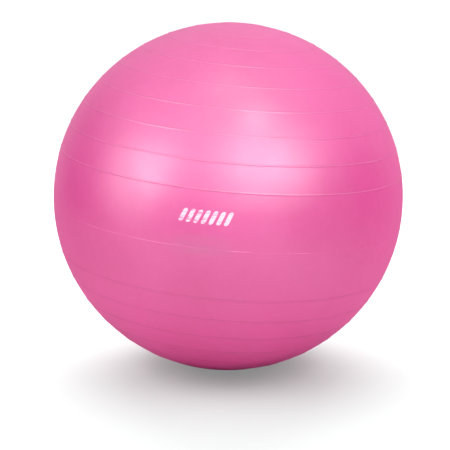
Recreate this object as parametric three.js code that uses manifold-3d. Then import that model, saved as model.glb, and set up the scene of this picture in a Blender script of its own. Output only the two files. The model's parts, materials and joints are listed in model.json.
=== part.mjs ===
// Inflatable exercise ball: a soft moulded skin with raised grip ribs, the valve seat that is
// moulded into it, and the plug that is pulled out to let the air in or out.
//
// Millimetres, +Z up. The origin is the middle of the flat patch that the ball rests on.
// The side that carries the print faces -Y, and the valve looks out towards -X.

import * as THREE from "three";
import { mergeVertices } from "three/addons/utils/BufferGeometryUtils.js";
import Module from "manifold-3d";

const wasm = await Module();
wasm.setup();

// ---- Driving dimensions ----

// The ball as it rests on the floor.
const BALL_RADIUS = 325; // half the width of the inflated ball
const HEIGHT_SHARE = 0.994; // height over width: its own weight flattens it a little
const PATCH_RADIUS = 40; // the patch that the soft skin presses flat on the floor
const WALL = 0.9; // skin thickness once it is inflated
const LEAN_DEG = 4.8; // how far the ribs' axis leans from upright, towards +X

// Raised lines on the skin, each a ring at one latitude about the ribs' axis.
const RIB = { width: 3.4, height: 0.5 };
const SEAM = { width: 1.2, height: 0.3 }; // flash where the two mould halves meet
const SEAM_LATITUDE = -4.6;
const UPPER_RIBS = { first: 13.3, pitch: 8.65, count: 9 };
const LOWER_RIBS = { first: -21.5, pitch: -8.4, count: 8 };

// The valve, in the middle of the smooth band over the seam.
// Heights are from the skin's outer face at the valve's axis, and are negative inside the ball.
const VALVE_LATITUDE = (SEAM_LATITUDE + UPPER_RIBS.first) / 2;
const VALVE_TURN_DEG = 100; // how far round it is from the print, from -Y towards -X
const GAP = 0.3; // between pieces that touch
const PAD = { radius: 32, top: 0.6, bottom: -3, edge: 3 }; // thicker skin round the valve
const COLLAR_RADIUS = 15; // the seat's collar, which fills the hole in the pad
const FLANGE = { radius: 26, thickness: 1.4 }; // bonded behind the pad
const RECESS = { radius: 10.3, floor: -1.6 }; // takes the plug's head
const BORE = { radius: 4.8, chamfer: 0.8 };
const NECK = { rootRadius: 8.6, endRadius: 7.4, end: -26, fillet: 3 };
const HEAD = { radius: 9.8, thickness: 1.7, dome: 0.25 };
const STEM = { rootRadius: 4.5, tipRadius: 3.8, length: 22, barbs: 5 };
const BARB = { depth: 0.55, crest: 0.6, back: 0.75 }; // crest and back as shares of the pitch
const CORE = { radius: 2, depth: 17 }; // hollow up the middle of the plug's stem
const ROUNDING = 0.4; // on the edges that a finger meets

// How finely the round shapes are divided.
const BALL_SEGMENTS = 48;
const RING_STEP_DEG = 8.7; // the widest gap between two rings: it gives both faces the same rings
const VALVE_SEGMENTS = 24;

// ---- Shapes ----

const radians = THREE.MathUtils.degToRad;

// A solid of revolution about +Z, from a profile of [radius, height] points.
function turned(profile, segments) {
  const points = profile.map(([r, h]) => new THREE.Vector2(r, h));
  return new THREE.LatheGeometry(points, segments).rotateX(Math.PI / 2);
}

// A profile's outline drawn back to its first point, for a piece that doesn't reach the axis.
const closed = (profile) => [...profile, profile[0]];

// How far a point at that distance from the valve's axis lies below the ball's crown.
const drop = (radius) => radius ** 2 / (2 * BALL_RADIUS);

// A geometry as a manifold-3d solid.
function solid(geometry) {
  const bare = geometry.clone();
  bare.deleteAttribute("normal");
  bare.deleteAttribute("uv");
  const merged = mergeVertices(bare, 1e-3);
  const vertProperties = new Float32Array(merged.attributes.position.array);
  const triVerts = new Uint32Array(merged.index.array);
  return new wasm.Manifold(new wasm.Mesh({ numProp: 3, vertProperties, triVerts }));
}

// A manifold-3d solid as a geometry with flat faces.
function geometryOf(made) {
  const { vertProperties, triVerts, numProp } = made.getMesh();
  const indexed = new THREE.BufferGeometry();
  const interleaved = new THREE.InterleavedBuffer(vertProperties, numProp);
  const position = new THREE.InterleavedBufferAttribute(interleaved, 3, 0);
  indexed.setAttribute("position", position);
  indexed.setIndex(new THREE.BufferAttribute(triVerts, 1));
  const geometry = indexed.toNonIndexed();
  geometry.computeVertexNormals();
  return geometry;
}

// ---- The ball's skin ----

const LEAN = radians(LEAN_DEG);
// The floor cuts the ball at the height where its section is as wide as the patch.
const CENTRE_HEIGHT = HEIGHT_SHARE * Math.sqrt(BALL_RADIUS ** 2 - PATCH_RADIUS ** 2);

// Takes the upright, perfectly round ball, centred on the origin, to how it rests on the floor.
const resting = new THREE.Matrix4()
  .makeTranslation(0, 0, CENTRE_HEIGHT)
  .multiply(new THREE.Matrix4().makeScale(1, 1, HEIGHT_SHARE))
  .multiply(new THREE.Matrix4().makeRotationY(LEAN));

// The raised lines from the south pole to the north pole.
function raisedLines() {
  const ribs = [UPPER_RIBS, LOWER_RIBS].flatMap(({ first, pitch, count }) =>
    Array.from({ length: count }, (_, i) => ({ latitude: first + i * pitch, ...RIB })),
  );
  const seam = { latitude: SEAM_LATITUDE, ...SEAM };
  return [...ribs, seam].sort((a, b) => a.latitude - b.latitude);
}

// Plain rings between two latitudes, both left out, no further apart than RING_STEP_DEG.
function plainRings(from, to) {
  const steps = Math.ceil((to - from) / RING_STEP_DEG);
  return Array.from({ length: steps - 1 }, (_, i) => ({
    latitude: from + ((i + 1) * (to - from)) / steps,
    height: 0,
  }));
}

// Rings of the skin's outer face. Each line rises from its two feet to a crest between them.
function outerRings() {
  const rings = [];
  let reached = -90;
  for (const { latitude, width, height } of raisedLines()) {
    const half = THREE.MathUtils.radToDeg(width / 2 / BALL_RADIUS);
    rings.push(...plainRings(reached, latitude - half));
    rings.push({ latitude: latitude - half, height: 0 });
    rings.push({ latitude, height });
    rings.push({ latitude: latitude + half, height: 0 });
    reached = latitude + half;
  }
  return [...rings, ...plainRings(reached, 90)];
}

// Rings of the skin's inner face, which is smooth behind the lines.
function innerRings() {
  const stops = [-90, ...raisedLines().map((line) => line.latitude), 90];
  const rings = stops.slice(1, -1).map((latitude) => ({ latitude, height: 0 }));
  for (let i = 1; i < stops.length; i++) {
    rings.push(...plainRings(stops[i - 1], stops[i]));
  }
  return rings.sort((a, b) => a.latitude - b.latitude);
}

// A solid ball through those rings, as it rests, cut off level at the floor's height.
function restingBall(radius, rings, floor) {
  const profile = rings.map(({ latitude, height }) => [
    (radius + height) * Math.cos(radians(latitude)),
    (radius + height) * Math.sin(radians(latitude)),
  ]);
  const ends = [[0, -radius], ...profile, [0, radius]];
  const ball = turned(ends, BALL_SEGMENTS).applyMatrix4(resting);
  const side = 4 * BALL_RADIUS;
  const under = new THREE.BoxGeometry(side, side, side);
  under.translate(0, 0, floor - side / 2);
  return solid(ball).subtract(solid(under));
}

// The thicker round patch of skin that the valve seat is moulded into, chamfered round its edge.
function valvePad() {
  const { radius, top, bottom, edge } = PAD;
  const rings = [0, COLLAR_RADIUS, radius - edge];
  const outside = rings.map((r) => [r, top - drop(r)]);
  const inside = [0, COLLAR_RADIUS, radius].map((r) => [r, bottom - drop(r)]);
  return turned([...inside, [radius, -drop(radius)], ...outside.reverse()], VALVE_SEGMENTS);
}

function ballShell(valvePlace) {
  const outside = restingBall(BALL_RADIUS, outerRings(), 0);
  const inside = restingBall(BALL_RADIUS - WALL, innerRings(), WALL);
  const pad = solid(valvePad().applyMatrix4(valvePlace));
  const length = 2 * (PAD.top - PAD.bottom) + 4 * WALL;
  const drill = new THREE.CylinderGeometry(
    COLLAR_RADIUS + GAP,
    COLLAR_RADIUS + GAP,
    length,
    VALVE_SEGMENTS,
  ).rotateX(Math.PI / 2);
  const hole = solid(drill.applyMatrix4(valvePlace));
  return geometryOf(outside.subtract(inside).add(pad).subtract(hole));
}

// ---- The valve ----

// A collar in the pad's hole, a flange behind the pad, and a neck into the ball.
function valveSeat() {
  const face = PAD.top - drop(COLLAR_RADIUS);
  const front = (radius) => PAD.bottom - GAP - drop(radius);
  const back = front(FLANGE.radius) - FLANGE.thickness;
  const middle = (COLLAR_RADIUS + FLANGE.radius) / 2;
  return turned(
    closed([
      [BORE.radius, NECK.end],
      [NECK.endRadius, NECK.end],
      [NECK.rootRadius, back - NECK.fillet],
      [NECK.rootRadius + NECK.fillet, back],
      [FLANGE.radius, back],
      [FLANGE.radius, front(FLANGE.radius)],
      [middle, front(middle)],
      [COLLAR_RADIUS, front(COLLAR_RADIUS)],
      [COLLAR_RADIUS, face - ROUNDING],
      [COLLAR_RADIUS - ROUNDING, face],
      [RECESS.radius + ROUNDING, face],
      [RECESS.radius, face - ROUNDING],
      [RECESS.radius, RECESS.floor],
      [BORE.radius + BORE.chamfer, RECESS.floor],
      [BORE.radius, RECESS.floor - BORE.chamfer],
    ]),
    VALVE_SEGMENTS,
  );
}

// The stem's outline from its tip to the head: barbs that slope in towards the tip.
function barbedStem(underside) {
  const pitch = STEM.length / STEM.barbs;
  const outline = [];
  for (let i = 0; i < STEM.barbs; i++) {
    const share = i / (STEM.barbs - 1);
    const crest = THREE.MathUtils.lerp(STEM.tipRadius, STEM.rootRadius, share);
    const foot = underside - STEM.length + i * pitch;
    outline.push([crest - BARB.depth, foot]);
    outline.push([crest, foot + BARB.crest * pitch]);
    outline.push([crest - BARB.depth, foot + BARB.back * pitch]);
  }
  return outline;
}

// A flat domed head on a barbed stem that is hollow from its tip.
function valvePlug() {
  const underside = RECESS.floor + GAP;
  const tip = underside - STEM.length;
  const top = underside + HEAD.thickness;
  const shoulder = top - HEAD.dome;
  return turned(
    [
      [0, tip + CORE.depth],
      [CORE.radius, tip + CORE.depth],
      [CORE.radius, tip],
      ...barbedStem(underside),
      [STEM.rootRadius, underside],
      [HEAD.radius - ROUNDING, underside],
      [HEAD.radius, underside + ROUNDING],
      [HEAD.radius, shoulder - ROUNDING],
      [HEAD.radius - ROUNDING, shoulder],
      [HEAD.radius / 2, top - HEAD.dome / 4],
      [0, top],
    ],
    VALVE_SEGMENTS,
  );
}

// ---- The assembly ----

const vinyl = new THREE.MeshStandardMaterial({ color: 0xf06ba8, roughness: 0.4 });
const seatVinyl = new THREE.MeshStandardMaterial({ color: 0xe2609c, roughness: 0.5 });
const whitePlastic = new THREE.MeshStandardMaterial({ color: 0xf2f2ee, roughness: 0.45 });

function named(name, geometry, material) {
  const mesh = new THREE.Mesh(geometry, material);
  mesh.name = name;
  return mesh;
}

// The valve's own frame: its origin on the skin's outer face and its +Z straight out of the ball.
function valveFrame() {
  const turn = new THREE.Euler(radians(-VALVE_LATITUDE), 0, radians(-VALVE_TURN_DEG), "ZYX");
  const place = new THREE.Vector3(0, -BALL_RADIUS, 0).applyEuler(turn).applyMatrix4(resting);
  const outward = place.clone().setZ((place.z - CENTRE_HEIGHT) / HEIGHT_SHARE ** 2).normalize();
  const frame = new THREE.Group();
  frame.position.copy(place);
  frame.quaternion.setFromUnitVectors(new THREE.Vector3(0, 0, 1), outward);
  frame.updateMatrix();
  return frame;
}

const valve = valveFrame();
valve.add(named("valve_seat", valveSeat(), seatVinyl));
valve.add(named("valve_plug", valvePlug(), whitePlastic));

const ball = new THREE.Group();
ball.add(named("ball_shell", ballShell(valve.matrix), vinyl));
ball.add(valve);

export default ball;
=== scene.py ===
"""Looks for the inflatable exercise ball: a satin vinyl skin with raised ribs, its valve and plug.

Metres, +Z up, in the CAD model's frame. The print faces -Y and the valve looks out towards -X.
"""

import json
from math import atan2, ceil, cos, degrees, pi, radians, sin, sqrt

import bmesh
import bpy
from mathutils import Matrix, Vector, noise


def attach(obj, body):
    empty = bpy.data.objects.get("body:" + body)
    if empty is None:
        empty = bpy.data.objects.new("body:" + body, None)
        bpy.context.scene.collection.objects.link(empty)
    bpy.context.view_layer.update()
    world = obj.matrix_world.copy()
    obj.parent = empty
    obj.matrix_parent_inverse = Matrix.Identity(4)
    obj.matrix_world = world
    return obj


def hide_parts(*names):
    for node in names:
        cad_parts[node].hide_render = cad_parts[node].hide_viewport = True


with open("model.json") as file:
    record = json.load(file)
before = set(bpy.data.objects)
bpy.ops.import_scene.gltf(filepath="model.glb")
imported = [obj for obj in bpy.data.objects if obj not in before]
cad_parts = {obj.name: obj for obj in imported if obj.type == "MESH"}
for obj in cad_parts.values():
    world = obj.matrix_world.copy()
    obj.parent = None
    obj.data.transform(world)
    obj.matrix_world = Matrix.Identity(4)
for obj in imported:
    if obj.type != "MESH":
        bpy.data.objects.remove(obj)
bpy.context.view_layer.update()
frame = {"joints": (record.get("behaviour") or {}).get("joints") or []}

MM = 0.001

# ---- The ball's driving sizes, the same as the CAD model's ----

BALL_RADIUS = 325 * MM
HEIGHT_SHARE = 0.994  # its height over its width
PATCH_RADIUS = 40 * MM  # the flat patch that it rests on
WALL = 0.9 * MM
LEAN = radians(4.8)  # of the ribs' axis, towards +X

# The raised lines. Latitudes are in degrees about the leaning axis.
RIB_HALF_WIDTH, RIB_HEIGHT = 1.7 * MM, 0.5 * MM
SEAM_HALF_WIDTH, SEAM_HEIGHT = 0.8 * MM, 0.35 * MM
SEAM_LATITUDE = -4.6
UPPER_RIBS = [13.3 + 8.65 * i for i in range(9)]
LOWER_RIBS = [-21.5 - 8.4 * i for i in range(8)]

# Round the valve. Radii are from its axis, and heights from the skin's outer face.
PAD_RADIUS, PAD_TOP, PAD_BOTTOM, PAD_EDGE = 32 * MM, 0.6 * MM, -3 * MM, 3 * MM
COLLAR_RADIUS = 15 * MM
GAP = 0.3 * MM  # round the seat and round the plug
FLANGE_RADIUS, FLANGE_THICKNESS = 26 * MM, 1.4 * MM
RECESS_RADIUS, RECESS_FLOOR = 10.3 * MM, -1.6 * MM
BORE_RADIUS, BORE_CHAMFER = 4.8 * MM, 0.8 * MM
NECK_ROOT, NECK_END_RADIUS, NECK_END, NECK_FILLET = 8.6 * MM, 7.4 * MM, -26 * MM, 3 * MM
HEAD_RADIUS, HEAD_THICKNESS, HEAD_DOME = 9.8 * MM, 1.7 * MM, 0.25 * MM
STEM_ROOT, STEM_TIP, STEM_LENGTH = 4.5 * MM, 3.8 * MM, 22 * MM
BARBS, BARB_DEPTH = 5, 0.55 * MM
BARB_CREST, BARB_BACK = 0.6, 0.75  # shares of the pitch from one barb to the next
CORE_RADIUS, CORE_DEPTH = 2 * MM, 17 * MM

# Fine moulded detail of the valve: a line round the collar's face, and on the plug's head
# a groove round it, at a share of its radius, and the mark of the mould's gate in its middle.
FACE_LINE_HALF, FACE_LINE_DEPTH = 0.8 * MM, 0.25 * MM
GROOVE_PLACE, GROOVE_HALF, GROOVE_FLOOR_HALF, GROOVE_DEPTH = 0.72, 0.7 * MM, 0.3 * MM, 0.2 * MM
GATE_RADIUS, GATE_FLOOR_RADIUS, GATE_DEPTH = 1.8 * MM, 1.2 * MM, 0.25 * MM

# The printed mark, a row of slanted bars: degrees round and up the ball.
MARK_LEFT, MARK_RIGHT, MARK_BOTTOM, MARK_TOP = -15.2, 0.9, 3.1, 7.3
MARK_BARS, MARK_SLANT = 7, 1.7
MARK_FILL = 0.6  # a bar's width, as a share of the way from bar to bar
MARK_TIP = 0.08  # a bar's width at its very end, as a share of its full width
INK_TOP, INK_BOTTOM = 0.08 * MM, -0.12 * MM  # over and under the skin's outer face

# ---- What Blender adds to the CAD's shape ----

# Waves are pairs of a height and how often it repeats over the ball's radius.
SKIN_WAVES = (0.30, 2.3), (0.14, 6.1)  # in mm: the skin is never quite equally thick
SKIN_WAVES_START, SKIN_WAVES_FULL = 45 * MM, 90 * MM  # from the valve
RIB_WAVES = ((0.16, 5),)  # in shares of a rib's height
FLASH_WAVES = (0.9, 9), (0.5, 31)  # in shares of the seam's height, as are the next three
FLASH_MIDDLE, FLASH_LEAST, FLASH_MOST = 0.62, 0.12, 1.15

HIGHLIGHT_AND_WEAR_FROM, HIGHLIGHT_AND_WEAR_FULL = -20, 10  # latitudes: the ribs' crests get more and more painted highlight, with rubbing wear, between them
SHADE_AND_DUST_WIDTH = 1.4 * MM  # how far painted shade and dust reach from the foot of a rib
SHADE_AND_DUST_ABOVE, SHADE_AND_DUST_UNDER = 0.5, 0.2  # how much of it shows on each side of an upper rib,
SHADE_AND_DUST_LOW = 1.7  # and how many times as much on a lower rib

HOLE_RADIUS, HOLE_EDGE = COLLAR_RADIUS + GAP, 0.5 * MM
PAD_FOOT = 0.5 * MM  # how far outside its radius the pad begins to rise
INNER_RADIUS = BALL_RADIUS - WALL
INNER_ROOT = PAD_RADIUS + 1 * MM  # from the valve's axis: where the inner face begins
CUT_RADIUS = 43 * MM  # where the skin's rings give way to rings round the valve
APRON_RADII = (38 * MM, 35 * MM, 33.5 * MM)  # rings between there and the pad
PAD_RING_STEP = 3 * MM  # between the rings on the pad's flat top

# How finely the round shapes are divided.
BALL_SEGMENTS = 256
RING_STEP = 2.1  # degrees between the plain rings of the skin
LINE_STEPS = 8  # across each raised line
PAD_STEPS, HOLE_STEPS = 8, 4  # across the pad's soft edge and the hole's round one
INNER_RINGS = 40
VALVE_SEGMENTS = 96
BAR_ROWS, BAR_COLUMNS = 24, 6
FLOOR_SEGMENTS = 128
CORNER_STEPS = (0, 0.25, 0.5, 0.75, 1)  # along a small curve at a corner of an outline
CORNER_REACH = 0.49  # the most that a corner's curve may take of the side next to it
SHARP = radians(40)  # edges that turn more than this look sharp

# ---- The studio: degrees, metres and light strengths ----

CAMERA_ELEVATION, CAMERA_DISTANCE, LENS = 12, 3.19, 136.5
AIM_UNDER, AIM_LEFT = 0.96, 0.11  # the camera looks a little under and left of the ball's middle
FLOOR_RADIUS, FLOOR_Z = 2.2, -0.3 * MM
FLOOR_SEEN = (0.283, 0.3, 0.295)  # to the camera: a grey that makes up for the ball's pink bounce,
FLOOR_GLOW = 0.25  # and a faint glow
BOUNCE_NEAR = (0.54, 0.41, 0.475)  # to the ball: what the floor in front of it throws back,
BOUNCE_FAR = (0.05, 0.05, 0.05)  # the floor elsewhere,
BOUNCE_SHINE = (0.06, 0.06, 0.06)  # and what a reflection shows of it
BOUNCE_PLACE = (0, -0.7, 0)  # the middle of the floor in front of the ball
BOUNCE_NEAR_TO, BOUNCE_FAR_FROM = 0.5, 1.5  # metres from there

# To the ball, the world is dark, but paler above it and in a round patch behind it.
WORLD_ABOVE, ABOVE_FULL = 0.67, 0.9  # full where a direction of length 1 rises that far
WORLD_BEHIND = 0.42
BEHIND_FROM, BEHIND_FULL = 50, 15  # degrees from the patch's middle
WORLD_SEEN = 1.05  # to the camera, all round

# Lights. Edges are how much of a light's left, right, bottom and top fades out.
LIGHT_DISTANCE, RIM_DISTANCE, FLOOR_DISTANCE = 2.0, 2.4, 3.0
LEFT_EDGES = (0.6, 0.12, 0.5, 0.5)
SOFT_EDGES = (0.5, 0.5, 0.5, 0.5)
FRONT_EDGES = (0.45, 0.45, 0.45, 0.45)
CRISP_EDGES = (0.3, 0.3, 0.3, 0.3)

# ---- Where the ball and its valve are ----

CENTRE = Vector((0, 0, HEIGHT_SHARE * sqrt(BALL_RADIUS**2 - PATCH_RADIUS**2)))
FLATTEN = Matrix.Diagonal((1, 1, HEIGHT_SHARE))
TURN = Matrix.Rotation(LEAN, 3, "Y")
PRESS = 0.4 * MM  # how gently the skin turns up from the floor round the patch

VALVE_AXIS = Vector(frame["joints"][0]["axis"]).normalized()
VALVE_DIRECTION = (FLATTEN @ VALVE_AXIS).normalized()  # on the round ball
VALVE_PLACE = CENTRE + FLATTEN @ VALVE_DIRECTION * BALL_RADIUS
VALVE_SIDE = Vector((0, 0, 1)).cross(VALVE_AXIS).normalized()
VALVE_UP = VALVE_AXIS.cross(VALVE_SIDE)


def compass(latitude, longitude):
    """The direction at that latitude and longitude, in degrees, on the round ball. 0, 0 is -Y."""
    up, round_ = radians(latitude), radians(longitude)
    return Vector((cos(up) * sin(round_), -cos(up) * cos(round_), sin(up)))


def pressed(point, floor=0.0):
    """The point, moved up to the floor where the ball's own weight presses the skin flat."""
    z = point.z - floor
    if z < -PRESS:
        z = 0
    elif z < PRESS:
        z = (z + PRESS) ** 2 / (4 * PRESS)
    return Vector((point.x, point.y, z + floor))


def on_ball(direction, height):
    """Where that direction on the round ball comes to as it rests, that height over the skin."""
    return pressed(CENTRE + FLATTEN @ (TURN @ direction) * (BALL_RADIUS + height))


def sideways(angle):
    """A direction away from the valve's axis."""
    return VALVE_SIDE * cos(angle) + VALVE_UP * sin(angle)


def from_valve(radius, angle, height):
    """A point at that height over the skin at the valve, along the valve's axis."""
    return VALVE_PLACE + sideways(angle) * radius + VALVE_AXIS * height


def valve_angles():
    """Even angles round the valve's axis."""
    return [2 * pi * i / VALVE_SEGMENTS for i in range(VALVE_SEGMENTS)]


def on_skin(radius, angle, height):
    """A point that far from the valve's axis and that height over the ball's curved skin."""
    start = from_valve(radius, angle, 0) - CENTRE
    unflatten = FLATTEN.inverted()
    start, along = unflatten @ start, unflatten @ VALVE_AXIS
    b, c = start.dot(along), start.length_squared - BALL_RADIUS**2
    rise = (sqrt(b * b - along.length_squared * c) - b) / along.length_squared
    return from_valve(radius, angle, rise + height)


def round_valve(point):
    """The angle round the valve's axis at which a point lies, from 0 to a full turn."""
    away = point - VALVE_PLACE
    return atan2(away.dot(VALVE_UP), away.dot(VALVE_SIDE)) % (2 * pi)


def smooth(low, high, x):
    """From 0 at low to 1 at high, starting and ending gently."""
    t = min(max((x - low) / (high - low), 0), 1)
    return t * t * (3 - 2 * t)


# ---- Mesh helpers ----


def make_object(name, vertices, faces, material):
    """A smooth-shaded object, sharp only where its faces turn far."""
    mesh = bpy.data.meshes.new(name)
    mesh.from_pydata([tuple(v) for v in vertices], [], faces)
    shape = bmesh.new()
    shape.from_mesh(mesh)
    bmesh.ops.recalc_face_normals(shape, faces=shape.faces)
    shape.to_mesh(mesh)
    shape.free()
    mesh.polygons.foreach_set("use_smooth", [True] * len(mesh.polygons))
    mesh.set_sharp_from_angle(angle=SHARP)
    mesh.materials.append(material)
    made = bpy.data.objects.new(name, mesh)
    bpy.context.scene.collection.objects.link(made)
    return made


def band(first, second):
    """Quads between two rings of vertex numbers that have as many vertices as each other."""
    count = len(first)
    return [
        (first[i], first[(i + 1) % count], second[(i + 1) % count], second[i])
        for i in range(count)
    ]


def cap(ring, tip):
    """Triangles from a ring to one vertex in its middle."""
    return [(ring[i], ring[(i + 1) % len(ring)], tip) for i in range(len(ring))]


def zipped(outer, inner, angle_of):
    """Triangles between two rings round the valve that have different numbers of vertices."""
    outer, inner = sorted(outer, key=angle_of), sorted(inner, key=angle_of)

    def turn_at(ring, i):
        return angle_of(ring[i % len(ring)]) + 2 * pi * (i // len(ring))

    faces = []
    i = j = 0
    while i < len(outer) or j < len(inner):
        here, there = outer[i % len(outer)], inner[j % len(inner)]
        if j == len(inner) or i < len(outer) and turn_at(outer, i + 1) <= turn_at(inner, j + 1):
            i += 1
            faces.append((here, outer[i % len(outer)], there))
        else:
            j += 1
            faces.append((here, inner[j % len(inner)], there))
    return faces


def rounded(outline, closed):
    """The outline's (radius, height, rounding) corners, as (radius, height) points on curves."""
    points = []
    for i, (r, h, rounding) in enumerate(outline):
        here = Vector((r, h))
        if rounding == 0 or not closed and i in (0, len(outline) - 1):
            points.append(here)
            continue
        before = Vector(outline[i - 1][:2]) - here
        after = Vector(outline[(i + 1) % len(outline)][:2]) - here
        reach = min(rounding, CORNER_REACH * before.length, CORNER_REACH * after.length)
        start, end = here + before.normalized() * reach, here + after.normalized() * reach
        for t in CORNER_STEPS:
            points.append(start * (1 - t) ** 2 + here * 2 * t * (1 - t) + end * t**2)
    return points


def turned(name, outline, material, closed=False):
    """A solid of revolution round the valve's axis."""
    points = rounded(outline, closed)
    vertices, rings, faces = [], [], []
    for r, h in points:
        if r == 0:
            rings.append([len(vertices)])
            vertices.append(from_valve(0, 0, h))
            continue
        rings.append(range(len(vertices), len(vertices) + VALVE_SEGMENTS))
        vertices += [from_valve(r, angle, h) for angle in valve_angles()]
    following = rings[1:] + rings[:1] if closed else rings[1:]
    for first, second in zip(rings, following):
        if len(first) == 1:
            faces += cap(second, first[0])
        elif len(second) == 1:
            faces += cap(first, second[0])
        else:
            faces += band(first, second)
    return make_object(name, vertices, faces, material)


# ---- The ball's skin ----


def waves(place, sizes):
    """Uneven waves of those sizes, added up."""
    return sum(height * noise.noise(place * often) for height, often in sizes)


def ridge(offset, half_width):
    """The height share across a raised line, with soft feet and a round crest."""
    return 0.5 + 0.5 * cos(pi * offset / half_width)


def plain_rings(low, high):
    """Even latitudes between two others, which are left out."""
    steps = ceil((high - low) / RING_STEP)
    return [low + (high - low) * i / steps for i in range(1, steps)]


def skin_rings():
    """Latitudes of the outer face's rings: close together over each line, even between them."""
    lines = [(latitude, RIB_HALF_WIDTH) for latitude in UPPER_RIBS + LOWER_RIBS]
    lines.append((SEAM_LATITUDE, SEAM_HALF_WIDTH))
    latitudes = []
    reached = -90
    for latitude, half_width in sorted(lines):
        half = degrees(half_width / BALL_RADIUS)
        apron = degrees(SHADE_AND_DUST_WIDTH / BALL_RADIUS)
        latitudes += plain_rings(reached, latitude - half - apron)
        latitudes.append(latitude - half - apron)
        latitudes += [latitude + half * (2 * i / LINE_STEPS - 1) for i in range(LINE_STEPS + 1)]
        latitudes.append(latitude + half + apron)
        reached = latitude + half + apron
    return latitudes + plain_rings(reached, 90)


def across_line(latitude, middle):
    """How far the skin there is from the middle of a raised line."""
    return abs(radians(latitude - middle)) * BALL_RADIUS


def rib_share(latitude):
    """From 0 off the ribs to 1 on a rib's crest."""
    nearest = min(across_line(latitude, middle) for middle in UPPER_RIBS + LOWER_RIBS)
    return ridge(nearest, RIB_HALF_WIDTH) if nearest < RIB_HALF_WIDTH else 0


def highlight_and_wear_share(direction, latitude):
    """From 0 to about 1 where the lines' crests get a painted highlight with wear; 0 on the lower
    ribs.
    """
    highlit_and_worn = smooth(HIGHLIGHT_AND_WEAR_FROM, HIGHLIGHT_AND_WEAR_FULL, latitude)
    return rib_share(latitude) * highlit_and_worn + seam_share(direction, latitude)


def shade_and_dust_share(latitude):
    """From 0 to 1 in the corner at the foot of a rib: painted shade with dust, more on the lower
    ribs.
    """
    middle = min(UPPER_RIBS + LOWER_RIBS, key=lambda m: across_line(latitude, m))
    foot = abs(across_line(latitude, middle) - RIB_HALF_WIDTH)
    side = SHADE_AND_DUST_ABOVE if latitude > middle else SHADE_AND_DUST_UNDER
    return (1 - smooth(0, SHADE_AND_DUST_WIDTH, foot)) * side * (SHADE_AND_DUST_LOW if middle < 0 else 1)


def seam_share(direction, latitude):
    """From 0 off the seam to about 1 on the crest of its flash, which comes and goes."""
    across = across_line(latitude, SEAM_LATITUDE)
    if across >= SEAM_HALF_WIDTH:
        return 0
    around = Vector((direction.x, direction.y, 0))
    flash = FLASH_MIDDLE + waves(around, FLASH_WAVES)
    return ridge(across, SEAM_HALF_WIDTH) * min(max(flash, FLASH_LEAST), FLASH_MOST)


def line_height(direction, latitude):
    """How far the ribs and the seam raise the skin there."""
    along = 1 + waves(direction, RIB_WAVES)
    return RIB_HEIGHT * rib_share(latitude) * along + SEAM_HEIGHT * seam_share(direction, latitude)


def unevenness(direction):
    """How far the skin's slow, shallow waves raise it. They die out at the valve."""
    to_valve = (direction - TURN.inverted() @ VALVE_DIRECTION).length * BALL_RADIUS
    return waves(direction, SKIN_WAVES) * MM * smooth(SKIN_WAVES_START, SKIN_WAVES_FULL, to_valve)


def pad_rings():
    """(radius, height over the skin) of the rings round the valve, from outside to the hole."""
    rings = [(radius, 0) for radius in APRON_RADII]
    for i in range(PAD_STEPS + 1):
        across = i / PAD_STEPS
        radius = PAD_RADIUS + PAD_FOOT - across * PAD_EDGE
        rings.append((radius, PAD_TOP * smooth(0, 1, across)))
    shoulder = PAD_RADIUS - PAD_EDGE
    rings += [(shoulder - PAD_RING_STEP * i, PAD_TOP) for i in range(1, 4)]
    for i in range(HOLE_STEPS + 1):
        turn = pi / 2 * i / HOLE_STEPS
        radius = HOLE_RADIUS + HOLE_EDGE * (1 - sin(turn))
        rings.append((radius, PAD_TOP - HOLE_EDGE * (1 - cos(turn))))
    return rings


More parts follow.
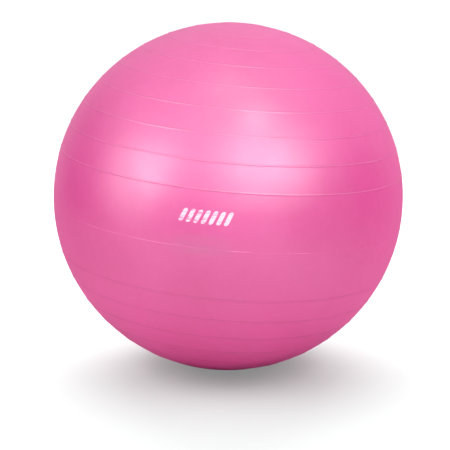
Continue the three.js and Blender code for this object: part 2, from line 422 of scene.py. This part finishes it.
class Skin:
    """The ball skin's vertices, added ring by ring, and the faces between them."""

    def __init__(self):
        self.vertices = []
        self.faces = []
        self.marks = {"crest": {}, "shade_and_dust": {}}  # painted highlight and shade, with wear and dust, per vertex; 0 where not stated

    def ring(self, points):
        """Add a ring of vertices, and give back their numbers."""
        start = len(self.vertices)
        self.vertices.extend(points)
        return list(range(start, len(self.vertices)))

    def outer_face(self):
        """Faces of the whole outer face, ring by ring from the south pole, as if with no valve."""
        rings = []
        for latitude in skin_rings():
            directions = [compass(latitude, 360 * i / BALL_SEGMENTS) for i in range(BALL_SEGMENTS)]
            heights = [line_height(d, latitude) + unevenness(d) for d in directions]
            rings.append(self.ring([on_ball(d, height) for d, height in zip(directions, heights)]))
            # Marks for the crests' painted highlight with wear and the rib feet's painted shade with
            # dust.
            for i, direction in zip(rings[-1], directions):
                self.marks["crest"][i] = highlight_and_wear_share(direction, latitude)
                self.marks["shade_and_dust"][i] = shade_and_dust_share(latitude)
        faces = [face for low, high in zip(rings, rings[1:]) for face in band(low, high)]
        for latitude, ring in ((-90, rings[0]), (90, rings[-1])):
            pole = compass(latitude, 0)
            faces += cap(ring, self.ring([on_ball(pole, unevenness(pole))])[0])
        return faces

    def opened(self, faces):
        """Keep the faces clear of the valve. Give back the vertices at the edge of the opening."""
        near = {i for face in faces for i in face
                if (self.vertices[i] - VALVE_PLACE).length < CUT_RADIUS}
        self.faces += [face for face in faces if not near.intersection(face)]
        return {i for face in faces if near.intersection(face) for i in face} - near

    def valve_rings(self):
        """The pad's rings, from outside to the hole, through it and out behind the pad."""
        angles = valve_angles()
        rings = [self.ring([on_skin(r, a, h) for a in angles]) for r, h in pad_rings()]
        for r in (HOLE_RADIUS, (HOLE_RADIUS + PAD_RADIUS) / 2, PAD_RADIUS):
            rings.append(self.ring([on_skin(r, a, PAD_BOTTOM) for a in angles]))
        rings.append(self.ring([on_skin(INNER_ROOT, a, -WALL) for a in angles]))
        return rings

    def inner_rings(self):
        """The inner face's rings, from the valve round to the ball's far side."""
        rings = []
        root = INNER_ROOT / BALL_RADIUS
        for i in range(1, INNER_RINGS):
            away = root + (pi - root) * i / INNER_RINGS
            directions = [VALVE_DIRECTION * cos(away) + sideways(a) * sin(away)
                          for a in valve_angles()]
            points = [CENTRE + FLATTEN @ d.normalized() * INNER_RADIUS for d in directions]
            rings.append(self.ring([pressed(point, WALL) for point in points]))
        return rings


def ball_skin(material):
    skin = Skin()
    opening = skin.opened(skin.outer_face())
    rings = skin.valve_rings() + skin.inner_rings()
    skin.faces += zipped(opening, rings[0], lambda i: round_valve(skin.vertices[i]))
    for first, second in zip(rings, rings[1:]):
        skin.faces += band(first, second)
    far_side = CENTRE - FLATTEN @ VALVE_DIRECTION * INNER_RADIUS
    skin.faces += cap(rings[-1], skin.ring([far_side])[0])

    # The vertices that the valve's opening took away are left out.
    used = sorted({i for face in skin.faces for i in face})
    number = {old: new for new, old in enumerate(used)}
    faces = [[number[i] for i in face] for face in skin.faces]
    made = make_object("ball_skin", [skin.vertices[i] for i in used], faces, material)
    for name, shares in skin.marks.items():
        layer = made.data.attributes.new(name, "FLOAT", "POINT")
        layer.data.foreach_set("value", [shares.get(i, 0) for i in used])
    return made


# ---- The valve ----


def drop(radius):
    """How far a point at that distance from the valve's axis lies below the ball's crown."""
    return radius**2 / (2 * BALL_RADIUS)


def valve_insert(material):
    """The seat: a collar in the pad's hole, a flange behind the pad, a neck into the ball.

    Its outline goes from the bore's inner end round the outside to the collar's face and back.
    """
    face = PAD_TOP - drop(COLLAR_RADIUS)
    front = PAD_BOTTOM - GAP
    back = front - drop(FLANGE_RADIUS) - FLANGE_THICKNESS
    middle = (COLLAR_RADIUS + FLANGE_RADIUS) / 2
    line = (COLLAR_RADIUS + RECESS_RADIUS) / 2
    line_depth = face - FACE_LINE_DEPTH
    outline = [
        (BORE_RADIUS, NECK_END, 0.3 * MM),
        (NECK_END_RADIUS, NECK_END, 0.6 * MM),
        (NECK_ROOT, back - NECK_FILLET, 2 * MM),
        (NECK_ROOT + NECK_FILLET, back, 2 * MM),
        (FLANGE_RADIUS, back, 0.6 * MM),
        (FLANGE_RADIUS, front - drop(FLANGE_RADIUS), 0.4 * MM),
        (middle, front - drop(middle), 0),
        (COLLAR_RADIUS, front - drop(COLLAR_RADIUS), 0.3 * MM),
        (COLLAR_RADIUS, face, 0.8 * MM),
        (line + FACE_LINE_HALF, face, 0.3 * MM),
        (line + FACE_LINE_HALF / 2, line_depth, 0.2 * MM),
        (line - FACE_LINE_HALF / 2, line_depth, 0.2 * MM),
        (line - FACE_LINE_HALF, face, 0.3 * MM),
        (RECESS_RADIUS, face, 0.8 * MM),
        (RECESS_RADIUS, RECESS_FLOOR, 0.3 * MM),
        (BORE_RADIUS + BORE_CHAMFER, RECESS_FLOOR, 0.3 * MM),
        (BORE_RADIUS, RECESS_FLOOR - BORE_CHAMFER, 0.3 * MM),
    ]
    return turned("valve_insert", outline, material, closed=True)


def valve_stopper(material):
    """The plug: a flat head with a groove and a gate mark, on a hollow stem with barbs.

    Its outline goes from the stem's hollow out, up the barbs, round the head and in to the gate.
    """
    underside = RECESS_FLOOR + GAP
    tip = underside - STEM_LENGTH
    top = underside + HEAD_THICKNESS
    shoulder = top - HEAD_DOME
    pitch = STEM_LENGTH / BARBS
    outline = [
        (0, tip + CORE_DEPTH, 0),
        (CORE_RADIUS, tip + CORE_DEPTH, 0.8 * MM),
        (CORE_RADIUS, tip, 0.4 * MM),
    ]
    for i in range(BARBS):
        crest = STEM_TIP + (STEM_ROOT - STEM_TIP) * i / (BARBS - 1)
        foot = tip + i * pitch
        outline.append((crest - BARB_DEPTH, foot, 0.3 * MM))
        outline.append((crest, foot + BARB_CREST * pitch, 0.35 * MM))
        outline.append((crest - BARB_DEPTH, foot + BARB_BACK * pitch, 0.3 * MM))
    groove = GROOVE_PLACE * HEAD_RADIUS
    outline += [
        (STEM_ROOT, underside, 0.5 * MM),
        (HEAD_RADIUS, underside, 0.5 * MM),
        (HEAD_RADIUS, shoulder, 0.8 * MM),
        (groove + GROOVE_HALF, shoulder + 0.05 * MM, 0.2 * MM),
        (groove + GROOVE_FLOOR_HALF, shoulder - GROOVE_DEPTH, 0.15 * MM),
        (groove - GROOVE_FLOOR_HALF, shoulder - GROOVE_DEPTH, 0.15 * MM),
        (groove - GROOVE_HALF, shoulder + 0.1 * MM, 0.2 * MM),
        (HEAD_RADIUS / 2, top - HEAD_DOME / 4, 1 * MM),
        (GATE_RADIUS, top, 0.4 * MM),
        (GATE_FLOOR_RADIUS, top - GATE_DEPTH, 0.3 * MM),
        (0.5 * MM, top - 0.2 * MM, 0.1 * MM),
        (0, top - 0.1 * MM, 0),
    ]
    return turned("valve_stopper", outline, material)


# ---- The printed mark ----


def bar_vertices(middle, width):
    """The inner and then the outer side of one bar's film of ink, row by row from its foot."""
    height = MARK_TOP - MARK_BOTTOM
    end = 0.5 * width / height  # how much of the height a round end takes
    vertices = []
    for over_skin in (INK_BOTTOM, INK_TOP):
        for row in range(BAR_ROWS + 1):
            up = 0.5 - 0.5 * cos(pi * row / BAR_ROWS)
            from_end = min(up, 1 - up)
            roundness = sqrt(1 - max(0, 1 - from_end / end) ** 2)
            for column in range(BAR_COLUMNS + 1):
                across = (column / BAR_COLUMNS - 0.5) * width * max(roundness, MARK_TIP)
                longitude = middle + across + MARK_SLANT * (up - 0.5)
                direction = compass(MARK_BOTTOM + up * height, longitude)
                vertices.append(on_ball(direction, unevenness(direction) + over_skin))
    return vertices


def bar_faces(start):
    """Quads over both sides of a film whose vertices begin at that number, and round its edge."""

    def at(side, row, column):
        return start + (side * (BAR_ROWS + 1) + row) * (BAR_COLUMNS + 1) + column

    faces = []
    for row in range(BAR_ROWS):
        for column in range(BAR_COLUMNS):
            for side in (0, 1):
                faces.append((at(side, row, column), at(side, row, column + 1),
                              at(side, row + 1, column + 1), at(side, row + 1, column)))
        for column in (0, BAR_COLUMNS):
            faces.append((at(0, row, column), at(1, row, column),
                          at(1, row + 1, column), at(0, row + 1, column)))
    for column in range(BAR_COLUMNS):
        for row in (0, BAR_ROWS):
            faces.append((at(0, row, column), at(1, row, column),
                          at(1, row, column + 1), at(0, row, column + 1)))
    return faces


def print_bars(material):
    """A row of slanted bars with round ends, each a film of ink that follows the skin."""
    pitch = (MARK_RIGHT - MARK_LEFT) / MARK_BARS
    vertices, faces = [], []
    for bar in range(MARK_BARS):
        faces += bar_faces(len(vertices))
        vertices += bar_vertices(MARK_LEFT + (bar + 0.5) * pitch, MARK_FILL * pitch)
    return make_object("print_bars", vertices, faces, material)


# ---- Materials ----


class Nodes:
    """A node tree under construction, with short ways to add and join its nodes."""

    def __init__(self, tree):
        self.tree = tree

    def add(self, kind, inputs=None, **settings):
        node = self.tree.nodes.new(kind)
        for name, value in settings.items():
            setattr(node, name, value)
        for name, value in (inputs or {}).items():
            self.set(node, name, value)
        return node

    def set(self, node, name, value):
        """Join an input, given by its name or number, to a socket, or set it to a value."""
        if isinstance(value, bpy.types.NodeSocket):
            self.tree.links.new(value, node.inputs[name])
        else:
            node.inputs[name].default_value = value

    def ramp(self, value, low, high, to_low=0.0, to_high=1.0):
        """To_low where the value is low or less, to_high where it is high or more."""
        inputs = {"Value": value, "From Min": low, "From Max": high}
        inputs |= {"To Min": to_low, "To Max": to_high}
        node = self.add("ShaderNodeMapRange", inputs, interpolation_type="SMOOTHSTEP")
        return node.outputs["Result"]

    def math(self, operation, first, second):
        inputs = {0: first, 1: second}
        return self.add("ShaderNodeMath", inputs, operation=operation).outputs["Value"]

    def distance(self, first, second):
        inputs = {0: first, 1: second}
        return self.add("ShaderNodeVectorMath", inputs, operation="DISTANCE").outputs["Value"]

    def axes(self, vector):
        return self.add("ShaderNodeSeparateXYZ", {"Vector": vector}).outputs


class Looks(Nodes):
    """A material under construction. Its place is the object's own coordinates, in metres."""

    def __init__(self, name):
        self.material = bpy.data.materials.new(name)
        self.material.use_nodes = True
        super().__init__(self.material.node_tree)
        self.shader = self.tree.nodes["Principled BSDF"]
        self.place = self.add("ShaderNodeTexCoord").outputs["Object"]

    def shade(self, **inputs):
        for name, value in inputs.items():
            self.set(self.shader, name.replace("_", " "), value)

    def noise(self, scale, detail=2.0, roughness=0.5, distortion=0.0, place=None):
        """Clouds of that many to a metre. Their values lie mostly between 0.3 and 0.7."""
        inputs = {"Vector": place or self.place, "Scale": scale, "Detail": detail}
        inputs |= {"Roughness": roughness, "Distortion": distortion}
        return self.add("ShaderNodeTexNoise", inputs).outputs["Fac"]

    def stretched(self, x, y, z):
        """The place with its coordinates multiplied, so that what is drawn there shrinks."""
        inputs = {"Vector": self.place, "Scale": (x, y, z)}
        return self.add("ShaderNodeMapping", inputs).outputs["Vector"]

    def mixed(self, share, first, second):
        """A colour: the first where the share is 0, the second where it is 1."""
        node = self.add("ShaderNodeMix", {0: share}, data_type="RGBA")
        for index, value in ((6, first), (7, second)):
            self.set(node, index, value if isinstance(value, bpy.types.NodeSocket) else (*value, 1))
        return node.outputs[2]

    def attribute(self, name):
        return self.add("ShaderNodeAttribute", attribute_name=name).outputs["Fac"]

    def bump(self, height, distance, below=None):
        """A normal for bumps that deep, on top of the bumps below."""
        inputs = {"Height": height, "Distance": distance}
        if below:
            inputs["Normal"] = below
        return self.add("ShaderNodeBump", inputs).outputs["Normal"]


# The skin's colours.
PINK = (0.745, 0.079, 0.324)
PALE_PINK = (0.785, 0.108, 0.373)
DEEP_PINK = (0.696, 0.067, 0.291)
HIGHLIGHT_AND_WEAR_PINK = (0.80, 0.17, 0.43)  # painted highlight and rubbing wear, on the crests of the raised lines
SHADED_DUSTY_PINK = (0.48, 0.035, 0.17)  # painted shade and dust, in the corners beside them
SMUDGED_PINK = (0.60, 0.15, 0.33)  # under the print, where ink has been wiped off

# How much of each shows where it is strongest.
MOTTLED, CRESTS_HIGHLIT_AND_WORN, SHADED_AND_DUSTY, SMUDGED = 0.25, 0.7, 0.9, 0.5
SMUDGE_PLACE, SMUDGE_SIZE = (-0.045, -0.32, 0.301), (0.075, 0.4, 0.028)

# The skin's gloss. Roughness goes from the first number to the second over the skin.
SKIN_ROUGHNESS = (0.39, 0.46)
SCUFFS_ROUGHER, CRESTS_SMOOTHER = 0.07, 0.08
SKIN_IOR = 1.78
COAT, COAT_ROUGHNESS = 0.15, 0.22
SHEEN, SHEEN_ROUGHNESS, SHEEN_TINT = 0.35, 0.4, (1, 0.12, 0.45, 1)  # a glow towards the outline
PEEL_DEPTH, GRAIN_DEPTH = 0.05 * MM, 0.015 * MM

# The other materials.
SEAT_DEEP, SEAT_PALE = (0.44, 0.045, 0.165), (0.52, 0.06, 0.205)
SEAT_ROUGHNESS, SEAT_GRAIN = (0.42, 0.56), 0.02 * MM
CREAM, WHITE = (0.80, 0.79, 0.76), (0.88, 0.88, 0.86)
GRIME, GRIMY = (0.62, 0.56, 0.54), 0.4
PLASTIC_ROUGHNESS, PLASTIC_GRAIN = (0.38, 0.52), 0.015 * MM
SCATTER, SCATTER_DEPTH = 0.15, 2 * MM  # of light inside the plastic
INK, INK_WORN = (0.84, 0.69, 0.77), 0.75
INK_ROUGHNESS, INK_GRAIN = (0.42, 0.55), 0.01 * MM


def satin_vinyl():
    """Soft blown vinyl, mottled and satin, with orange peel and a sheen towards its outline.

    Crests get a painted highlight with wear, rib feet painted shade with dust; it is smudged under
    the print.
    """
    looks = Looks("satin_vinyl")
    cloudy = looks.ramp(looks.noise(4.5), 0.35, 0.65)
    colour = looks.mixed(cloudy, DEEP_PINK, PINK)
    mottle = looks.ramp(looks.noise(70, detail=3, roughness=0.6), 0.4, 0.75, 0, MOTTLED)
    colour = looks.mixed(mottle, colour, PALE_PINK)
    # A painted highlight, with rubbing wear, on the crests of the raised lines.
    highlight_patches = looks.ramp(looks.noise(14, detail=3), 0.3, 0.65, 0.35, 1)
    highlit_and_worn = looks.math("MULTIPLY", looks.attribute("crest"), highlight_patches)
    colour = looks.mixed(looks.math("MULTIPLY", highlit_and_worn, CRESTS_HIGHLIT_AND_WORN), colour, HIGHLIGHT_AND_WEAR_PINK)
    # Painted shade, with dust, in the corners at the feet of the ribs.
    shade_and_dust_patches = looks.ramp(looks.noise(22, detail=3), 0.25, 0.7, 0.4, SHADED_AND_DUSTY)
    shaded_and_dusty_amount = looks.math("MULTIPLY", looks.attribute("shade_and_dust"), shade_and_dust_patches)
    colour = looks.mixed(shaded_and_dusty_amount, colour, SHADED_DUSTY_PINK)

    # The smudge fades out from its middle, an equal share of its size each way.
    place_in_sizes = looks.stretched(*(1 / size for size in SMUDGE_SIZE))
    middle_in_sizes = [at / size for at, size in zip(SMUDGE_PLACE, SMUDGE_SIZE)]
    smudge = looks.ramp(looks.distance(place_in_sizes, middle_in_sizes), 0.35, 1.1, SMUDGED, 0)
    smears = looks.noise(30, detail=4, roughness=0.6, place=looks.stretched(1, 1, 4))
    smeared = looks.math("MULTIPLY", smudge, looks.ramp(smears, 0.3, 0.7, 0.35, 1))
    colour = looks.mixed(smeared, colour, SMUDGED_PINK)
    looks.shade(Base_Color=colour)

    clouds = looks.noise(11, detail=4, roughness=0.6, distortion=0.6)
    satin = looks.ramp(clouds, 0.38, 0.68, *SKIN_ROUGHNESS)
    streaks = looks.noise(9, detail=5, roughness=0.7, place=looks.stretched(3, 3, 22))
    scuffed = looks.math("ADD", satin, looks.ramp(streaks, 0.58, 0.72, 0, SCUFFS_ROUGHER))
    polish = looks.math("MULTIPLY", highlit_and_worn, CRESTS_SMOOTHER)
    looks.shade(Roughness=looks.math("SUBTRACT", scuffed, polish))
    looks.shade(IOR=SKIN_IOR, Specular_IOR_Level=1.0)
    looks.shade(Coat_Weight=COAT, Coat_Roughness=COAT_ROUGHNESS)
    looks.shade(Sheen_Weight=SHEEN, Sheen_Roughness=SHEEN_ROUGHNESS, Sheen_Tint=SHEEN_TINT)

    peel = looks.bump(looks.noise(420), PEEL_DEPTH)
    looks.shade(Normal=looks.bump(looks.noise(1500), GRAIN_DEPTH, peel))
    return looks.material


def seat_vinyl():
    """The same vinyl as the skin but thicker, so deeper, with a duller moulded face."""
    looks = Looks("seat_vinyl")
    cloudy = looks.ramp(looks.noise(55, detail=3), 0.3, 0.7)
    looks.shade(Base_Color=looks.mixed(cloudy, SEAT_DEEP, SEAT_PALE))
    dull = looks.noise(160, detail=4, roughness=0.6)
    looks.shade(Roughness=looks.ramp(dull, 0.3, 0.7, *SEAT_ROUGHNESS))
    looks.shade(Normal=looks.bump(looks.noise(900, detail=3, roughness=0.6), SEAT_GRAIN))
    return looks.material


def white_plastic():
    """Soft white polyethylene: waxy, with faint flow marks and a little grime in its grain."""
    looks = Looks("white_plastic")
    flow = looks.ramp(looks.noise(90, detail=3, roughness=0.5, distortion=1.2), 0.3, 0.7)
    colour = looks.mixed(flow, CREAM, WHITE)
    grimy = looks.ramp(looks.noise(420, detail=4, roughness=0.7), 0.6, 0.8, 0, GRIMY)
    looks.shade(Base_Color=looks.mixed(grimy, colour, GRIME))
    waxy = looks.noise(260, detail=4, roughness=0.6)
    looks.shade(Roughness=looks.ramp(waxy, 0.3, 0.7, *PLASTIC_ROUGHNESS))
    looks.shade(Subsurface_Weight=SCATTER, Subsurface_Scale=SCATTER_DEPTH)
    looks.shade(Normal=looks.bump(looks.noise(1200, detail=3, roughness=0.6), PLASTIC_GRAIN))
    return looks.material


def worn_ink():
    """White printing ink, rubbed away in streaks so that the vinyl shows through.

    It is worn most at the left end of the row of bars.
    """
    looks = Looks("worn_ink")
    streaks = looks.noise(55, detail=4, roughness=0.7, distortion=0.3, place=looks.stretched(1, 1, 7))
    worn_from = looks.ramp(looks.axes(looks.place)["X"], -0.09, 0.01, 0.47, 0.58)
    worn = looks.ramp(looks.math("SUBTRACT", streaks, worn_from), 0, 0.08, 0, INK_WORN)
    looks.shade(Base_Color=looks.mixed(worn, INK, PALE_PINK))
    looks.shade(Roughness=looks.ramp(looks.noise(300, detail=3), 0.3, 0.7, *INK_ROUGHNESS))
    looks.shade(Normal=looks.bump(looks.noise(800, detail=3, roughness=0.6), INK_GRAIN))
    return looks.material


# ---- The studio ----


def outward(azimuth, elevation):
    """A direction from the ball: azimuth 0 is -Y, and 90 is +X."""
    return compass(elevation, azimuth)


def studio_floor():
    """A pale floor. The camera sees it brighter than the ball does, as on an overexposed sweep."""
    turns = [2 * pi * i / FLOOR_SEGMENTS for i in range(FLOOR_SEGMENTS)]
    rim = [(FLOOR_RADIUS * cos(turn), FLOOR_RADIUS * sin(turn), FLOOR_Z) for turn in turns]
    looks = Looks("pale_floor")
    path = looks.add("ShaderNodeLightPath").outputs
    far = looks.ramp(looks.distance(looks.place, BOUNCE_PLACE), BOUNCE_NEAR_TO, BOUNCE_FAR_FROM)
    bounce = looks.mixed(far, BOUNCE_NEAR, BOUNCE_FAR)
    bounce = looks.mixed(path["Is Glossy Ray"], bounce, BOUNCE_SHINE)
    grey = looks.mixed(path["Is Camera Ray"], bounce, FLOOR_SEEN)
    looks.shade(Base_Color=grey, Roughness=0.9, Specular_IOR_Level=0.0)
    glow = looks.math("MULTIPLY", path["Is Camera Ray"], FLOOR_GLOW)
    looks.shade(Emission_Color=(1, 1, 1, 1), Emission_Strength=glow)
    floor = make_object("floor", rim, [list(range(FLOOR_SEGMENTS))], looks.material)
    return floor


def softbox(name, lit, at, size, power, distance=LIGHT_DISTANCE, edges=None, shines=True):
    """A rectangular light that faces the ball and lights only the objects in lit.

    At is its azimuth and elevation, and edges how much of it fades out, as the ball sees it.
    One that doesn't shine gives light but no highlight.
    """
    light = bpy.data.lights.new(name, "AREA")
    light.shape = "RECTANGLE"
    light.size, light.size_y = size
    light.energy = power
    if edges:
        fade_edges(light, *edges)
    lamp = bpy.data.objects.new(name, light)
    bpy.context.scene.collection.objects.link(lamp)
    lamp.location = CENTRE + outward(*at) * distance
    lamp.rotation_euler = outward(*at).to_track_quat("Z", "Y").to_euler()
    lamp.visible_camera = False
    lamp.visible_glossy = shines
    receivers = bpy.data.collections.new(name + "_lights")
    for lit_object in lit:
        receivers.objects.link(lit_object)
    lamp.light_linking.receiver_collection = receivers


def fade_edges(light, left, right, bottom, top):
    """Make the light weaker towards its edges, over that share of its width or height."""
    light.use_nodes = True
    nodes = Nodes(light.node_tree)
    across = nodes.axes(nodes.add("ShaderNodeNewGeometry").outputs["Parametric"])
    fades = [
        nodes.ramp(across["X"], 0, left),
        nodes.ramp(across["X"], 1 - right, 1, 1, 0),
        nodes.ramp(across["Y"], 0, bottom),
        nodes.ramp(across["Y"], 1 - top, 1, 1, 0),
    ]
    strength = fades[0]
    for fade in fades[1:]:
        strength = nodes.math("MULTIPLY", strength, fade)
    nodes.set(light.node_tree.nodes["Emission"], "Strength", strength)


def studio_world():
    """The camera sees white all round. The ball sees pale above and behind it, and dark sides."""
    world = bpy.data.worlds.new("studio")
    bpy.context.scene.world = world
    world.use_nodes = True
    nodes = Nodes(world.node_tree)
    direction = nodes.axes(nodes.add("ShaderNodeTexCoord").outputs["Generated"])
    above = nodes.ramp(direction["Z"], 0, ABOVE_FULL, 0.0, WORLD_ABOVE)
    patch_edge, patch_middle = cos(radians(BEHIND_FROM)), cos(radians(BEHIND_FULL))
    behind = nodes.ramp(direction["Y"], patch_edge, patch_middle, 0.0, WORLD_BEHIND)
    light = nodes.math("ADD", above, behind)
    seen = nodes.add("ShaderNodeLightPath").outputs["Is Camera Ray"]
    shown = nodes.add("ShaderNodeMix", {0: seen, 2: light, 3: WORLD_SEEN}).outputs[0]
    background = world.node_tree.nodes["Background"]
    nodes.set(background, "Color", (1, 1, 1, 1))
    nodes.set(background, "Strength", shown)


def studio_camera():
    """A long lens, a little above the ball and turned so that the ball sits high in the frame."""
    data = bpy.data.cameras.new("camera")
    data.lens = LENS
    camera = bpy.data.objects.new("camera", data)
    bpy.context.scene.collection.objects.link(camera)
    camera.location = CENTRE + outward(0, CAMERA_ELEVATION) * CAMERA_DISTANCE
    tilt = radians(90 - CAMERA_ELEVATION - AIM_UNDER)
    camera.rotation_euler = (tilt, 0, radians(AIM_LEFT))
    bpy.context.scene.camera = camera


# ---- The scene ----

skin = ball_skin(satin_vinyl())
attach(skin, "ball")
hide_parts("ball_shell")

insert = valve_insert(seat_vinyl())
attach(insert, "ball")
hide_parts("valve_seat")

stopper = valve_stopper(white_plastic())
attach(stopper, "plug")
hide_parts("valve_plug")

mark = print_bars(worn_ink())
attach(mark, "ball")

floor = studio_floor()
studio_world()
studio_camera()
pieces = (skin, insert, stopper, mark)
softbox("left_softbox", pieces, at=(-66, 17), size=(1.7, 2.2), power=28.3, edges=LEFT_EDGES)
softbox("left_fill", pieces, at=(-45, 25), size=(1.4, 1.4), power=22, edges=SOFT_EDGES)
softbox("front_softbox", pieces, at=(24, 28), size=(3.4, 2.0), power=75, edges=FRONT_EDGES)
softbox("small_lamp", pieces, at=(30, 58), size=(0.35, 0.25), power=5, edges=CRISP_EDGES)
softbox("top_lamp", pieces, at=(0, 83), size=(0.5, 0.5), power=1.8, edges=CRISP_EDGES)
softbox("top_fill", pieces, at=(0, 65), size=(2.0, 2.0), power=42, edges=SOFT_EDGES, shines=False)

# Rims light the ball's edges from behind.
rim = {"size": (1.6, 2.4), "distance": RIM_DISTANCE, "edges": SOFT_EDGES, "shines": False}
softbox("left_rim", pieces, at=(-135, 0), power=112, **rim)
softbox("right_rim", pieces, at=(120, 10), power=142, **rim)

# The floor has its own lights, from above, behind and both sides.
softbox("floor_dome", [floor], at=(0, 90), size=(5, 5), power=147)
softbox("floor_back", [floor], at=(180, 40), size=(4, 2), power=285, distance=FLOOR_DISTANCE)
softbox("floor_left", [floor], at=(-75, 35), size=(3, 2), power=107, distance=FLOOR_DISTANCE)
softbox("floor_right", [floor], at=(75, 35), size=(3, 2), power=80, distance=FLOOR_DISTANCE)

bpy.context.scene.view_settings.view_transform = "Standard"
